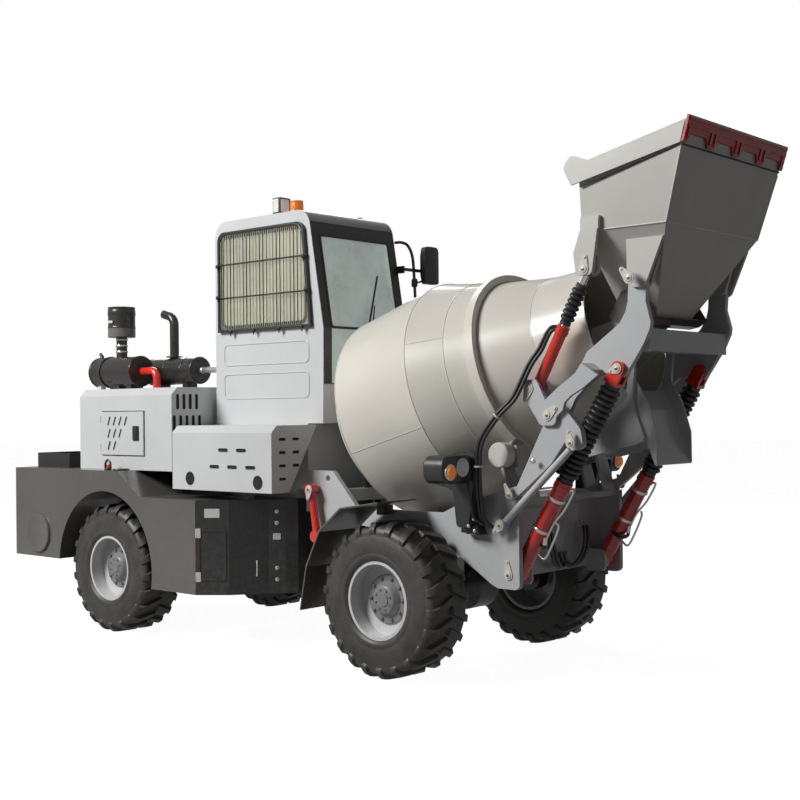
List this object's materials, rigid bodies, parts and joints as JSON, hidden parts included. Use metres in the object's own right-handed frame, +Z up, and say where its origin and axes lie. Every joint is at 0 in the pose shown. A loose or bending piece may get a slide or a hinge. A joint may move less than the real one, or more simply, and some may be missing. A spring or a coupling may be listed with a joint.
{
  "type": "self-loading concrete mixer",
  "caption": "Articulated self-loading concrete mixer truck with a tilted drum, lifting arms, a hopper bucket with a bottom gate, an engine hood and a cab.",
  "frame": {"origin": "centre of the underside of the machine's bounding box, on the ground", "axes": "+X forward along the machine, +Y to the driver's left, +Z up"},
  "size_m": [6.6158, 2.2, 3.615],
  "materials": {
    "tyre": "matte",
    "rim_paint": "satin",
    "chassis_paint": "satin",
    "panel_paint": "satin",
    "dark_paint": "satin",
    "frame_paint": "satin",
    "drum_paint": "satin",
    "cylinder_paint": "gloss",
    "rod_steel": "polished",
    "black_plastic": "matte",
    "rubber": "matte",
    "glass": "clear",
    "amber": "gloss",
    "cast": "rough",
    "cloth": "matte",
    "red_hose": "satin",
    "steel": "satin"
  },
  "bodies": {
    "rear_chassis": {"rear_frame": "chassis_paint", "cab_base": "panel_paint", "rear_fenders": "dark_paint", "counterweight": "dark_paint", "hinge_nose": "chassis_paint", "engine_hood": "panel_paint", "engine_block": "cast", "air_cleaner": "black_plastic", "muffler": "chassis_paint", "intake_hose": "red_hose", "exhaust_pipes": "steel", "side_boxes": "panel_paint", "cab_shell": "panel_paint", "cab_roof": "panel_paint", "cab_glass": "glass", "window_guard": "chassis_paint", "seat": "cloth", "steering_console": "black_plastic", "beacon": "amber", "work_light": "black_plastic", "mirror": "black_plastic", "axle_rear": "chassis_paint"},
    "front_chassis": {"front_frame": "frame_paint", "front_fenders": "dark_paint", "uprights": "frame_paint", "braces": "frame_paint", "headlamps": "black_plastic", "axle_rams": "cylinder_paint", "drum_drive": "chassis_paint", "roller_stands": "frame_paint", "discharge_chute": "frame_paint", "axle_front": "chassis_paint"},
    "wheel_front_left": {"tyre_front_left": "tyre", "rim_front_left": "rim_paint"},
    "wheel_front_right": {"tyre_front_right": "tyre", "rim_front_right": "rim_paint"},
    "wheel_rear_left": {"tyre_rear_left": "tyre", "rim_rear_left": "rim_paint"},
    "wheel_rear_right": {"tyre_rear_right": "tyre", "rim_rear_right": "rim_paint"},
    "drum": {"drum": "drum_paint"},
    "roller_left": {"roller_left": "steel"},
    "hood_door_left": {"hood_door_left": "panel_paint"},
    "roller_right": {"roller_right": "steel"},
    "hood_door_right": {"hood_door_right": "panel_paint"},
    "cab_door": {"cab_door": "panel_paint", "door_glass": "glass"},
    "lift_arms": {"lift_arms": "frame_paint"},
    "bucket": {"bucket": "panel_paint", "cutting_edge": "cylinder_paint"},
    "bucket_gate": {"bucket_gate": "dark_paint"},
    "lift_barrels": {"lift_barrels": "cylinder_paint"},
    "lift_rods": {"lift_rods": "cylinder_paint", "lift_bellows": "rubber"},
    "tilt_barrels": {"tilt_barrels": "cylinder_paint"},
    "tilt_rods": {"tilt_rods": "rod_steel", "tilt_bellows": "rubber"}
  },
  "joints": [
    {"name": "articulation", "type": "hinge", "parent": "rear_chassis", "child": "front_chassis", "pos_m": [-0.018, 0, 0.8], "axis": [0, 0, 1], "range_deg": [-18, 18]},
    {"name": "wheel_front_left_spin", "type": "hinge", "parent": "front_chassis", "child": "wheel_front_left", "pos_m": [1.095, 0.87, 0.5375], "axis": [0, 1, 0], "continuous": true},
    {"name": "wheel_front_right_spin", "type": "hinge", "parent": "front_chassis", "child": "wheel_front_right", "pos_m": [1.095, -0.87, 0.5375], "axis": [0, 1, 0], "continuous": true},
    {"name": "wheel_rear_left_spin", "type": "hinge", "parent": "rear_chassis", "child": "wheel_rear_left", "pos_m": [-1.971, 0.87, 0.5375], "axis": [0, 1, 0], "continuous": true},
    {"name": "wheel_rear_right_spin", "type": "hinge", "parent": "rear_chassis", "child": "wheel_rear_right", "pos_m": [-1.971, -0.87, 0.5375], "axis": [0, 1, 0], "continuous": true},
    {"name": "drum_spin", "type": "hinge", "parent": "front_chassis", "child": "drum", "pos_m": [-0.438, 0, 1.521], "axis": [0.96, 0, 0.2802], "continuous": true},
    {"name": "roller_left_spin", "type": "hinge", "parent": "front_chassis", "child": "roller_left", "pos_m": [1.83828, 0.47, 1.53127], "axis": [0.96, 0, 0.2802], "continuous": true},
    {"name": "roller_right_spin", "type": "hinge", "parent": "front_chassis", "child": "roller_right", "pos_m": [1.83828, -0.47, 1.53127], "axis": [0.96, 0, 0.2802], "continuous": true},
    {"name": "arm_lift", "type": "hinge", "parent": "front_chassis", "child": "lift_arms", "pos_m": [2.268, 0, 1.796], "axis": [0, 1, 0], "range_deg": [0, 84]},
    {"name": "bucket_tip", "type": "hinge", "parent": "lift_arms", "child": "bucket", "pos_m": [2.864, 0, 2.64], "axis": [0, 1, 0], "range_deg": [0, 60]},
    {"name": "gate_swing", "type": "hinge", "parent": "bucket", "child": "bucket_gate", "pos_m": [2.697, 0, 2.57], "axis": [0, 1, 0], "range_deg": [0, 70]},
    {"name": "lift_barrel_swing", "type": "hinge", "parent": "front_chassis", "child": "lift_barrels", "pos_m": [1.912, 0, 0.735], "axis": [0, 1, 0], "range_deg": [-0.2, 16.6]},
    {"name": "lift_rod_slide", "type": "slide", "parent": "lift_barrels", "child": "lift_rods", "axis": [0.5149, 0, 0.8573], "range_m": [-0.637, 0.001], "deforming": ["lift_bellows"]},
    {"name": "tilt_barrel_swing", "type": "hinge", "parent": "lift_arms", "child": "tilt_barrels", "pos_m": [2.123, 0, 1.971], "axis": [0, 1, 0], "range_deg": [-0.2, 4.5]},
    {"name": "tilt_rod_slide", "type": "slide", "parent": "tilt_barrels", "child": "tilt_rods", "axis": [0.4811, 0, 0.8767], "range_m": [-0.001, 0.333], "deforming": ["tilt_bellows"]},
    {"name": "cab_door_swing", "type": "hinge", "parent": "rear_chassis", "child": "cab_door", "pos_m": [-0.768, 0.4953, 2.55], "axis": [0, 0, 1], "range_deg": [0, 95]},
    {"name": "hood_door_left_swing", "type": "hinge", "parent": "rear_chassis", "child": "hood_door_left", "pos_m": [-2.238, 0.9303, 1.67], "axis": [0, 0, 1], "range_deg": [0, 100]},
    {"name": "hood_door_right_swing", "type": "hinge", "parent": "rear_chassis", "child": "hood_door_right", "pos_m": [-2.238, -0.9303, 1.67], "axis": [0, 0, -1], "range_deg": [0, 100]}
  ],
  "couplings": [
    {"joint": "lift_barrel_swing", "follows": "arm_lift", "ratio": 0.19505},
    {"joint": "lift_rod_slide", "follows": "arm_lift", "m_per_rad": -0.43323},
    {"joint": "tilt_barrel_swing", "follows": "bucket_tip", "ratio": 0.07025},
    {"joint": "tilt_rod_slide", "follows": "bucket_tip", "m_per_rad": 0.31645},
    {"joint": "roller_left_spin", "follows": "drum_spin", "ratio": -7.5217},
    {"joint": "roller_right_spin", "follows": "drum_spin", "ratio": -7.5217}
  ]
}
